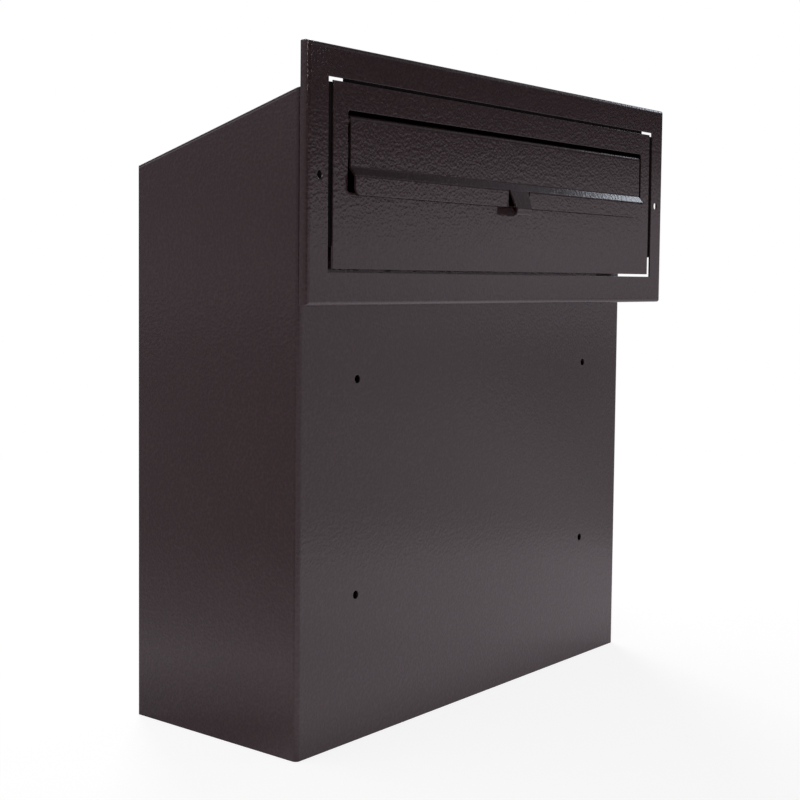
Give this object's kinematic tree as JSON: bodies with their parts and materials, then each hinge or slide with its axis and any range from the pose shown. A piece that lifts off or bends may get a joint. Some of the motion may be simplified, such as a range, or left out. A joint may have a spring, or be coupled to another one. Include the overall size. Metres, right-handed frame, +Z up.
{
  "type": "letterbox",
  "caption": "Through-fence letterbox of folded steel, with a street-side bezel and top-hinged letter flap, a sloping roof and a locking rear door.",
  "frame": {"origin": "middle of the box's footprint, on the underside of its floor", "axes": "+Z up, -Y towards the street (the bezel and letter flap), +Y towards the garden (the locked door), +X to the right seen from the street"},
  "size_m": [0.336, 0.1494, 0.345],
  "materials": {
    "hammered_paint": "dark brown hammertone paint, semi-gloss",
    "duct_primer": "matt near-black primer, where the paint did not reach",
    "zinc_steel": "zinc-plated steel",
    "rivet_steel": "steel rivets painted over with the hammertone paint",
    "lock_chrome": "polished chrome plate",
    "lock_brass": "nickel-worn brass",
    "rubber": "black rubber"
  },
  "bodies": {
    "box": {"body_shell": "hammered_paint", "floor_pan": "hammered_paint", "roof_panel": "hammered_paint", "door_stile_left": "hammered_paint", "door_stile_right": "hammered_paint", "door_rail_bottom": "hammered_paint", "door_rail_top": "hammered_paint", "door_buffers": "rubber", "duct_cheek_left": "duct_primer", "duct_cheek_right": "duct_primer", "duct_top": "duct_primer", "duct_floor": "duct_primer", "bezel_frame": "hammered_paint", "slot_plate": "hammered_paint", "flap_hinge_pin": "zinc_steel", "flap_buffers": "rubber", "hinge_pins": "zinc_steel", "frame_rivets": "rivet_steel", "hinge_frame_leaf_lower": "hammered_paint", "hinge_frame_leaf_upper": "hammered_paint"},
    "flap": {"slot_flap": "hammered_paint"},
    "door": {"rear_door": "hammered_paint", "hinge_door_leaf_lower": "hammered_paint", "hinge_door_leaf_upper": "hammered_paint", "door_rivets": "rivet_steel", "lock_barrel": "lock_chrome", "lock_nut": "zinc_steel"},
    "lock_core": {"lock_plug": "lock_brass", "stop_washer": "zinc_steel", "lock_cam": "zinc_steel", "cam_washer": "zinc_steel", "cam_screw": "zinc_steel"}
  },
  "joints": [
    {"name": "flap_swing", "type": "hinge", "parent": "box", "child": "flap", "pos_m": [0, -0.07575, 0.31095], "axis": [-1, 0, 0], "range_deg": [0, 110]},
    {"name": "door_swing", "type": "hinge", "parent": "box", "child": "door", "pos_m": [0.137, 0.061, 0.147], "axis": [0, 0, -1], "range_deg": [0, 170]},
    {"name": "lock_turn", "type": "hinge", "parent": "door", "child": "lock_core", "pos_m": [-0.106, 0.058, 0.147], "axis": [0, 1, 0], "range_deg": [0, 90]}
  ]
}
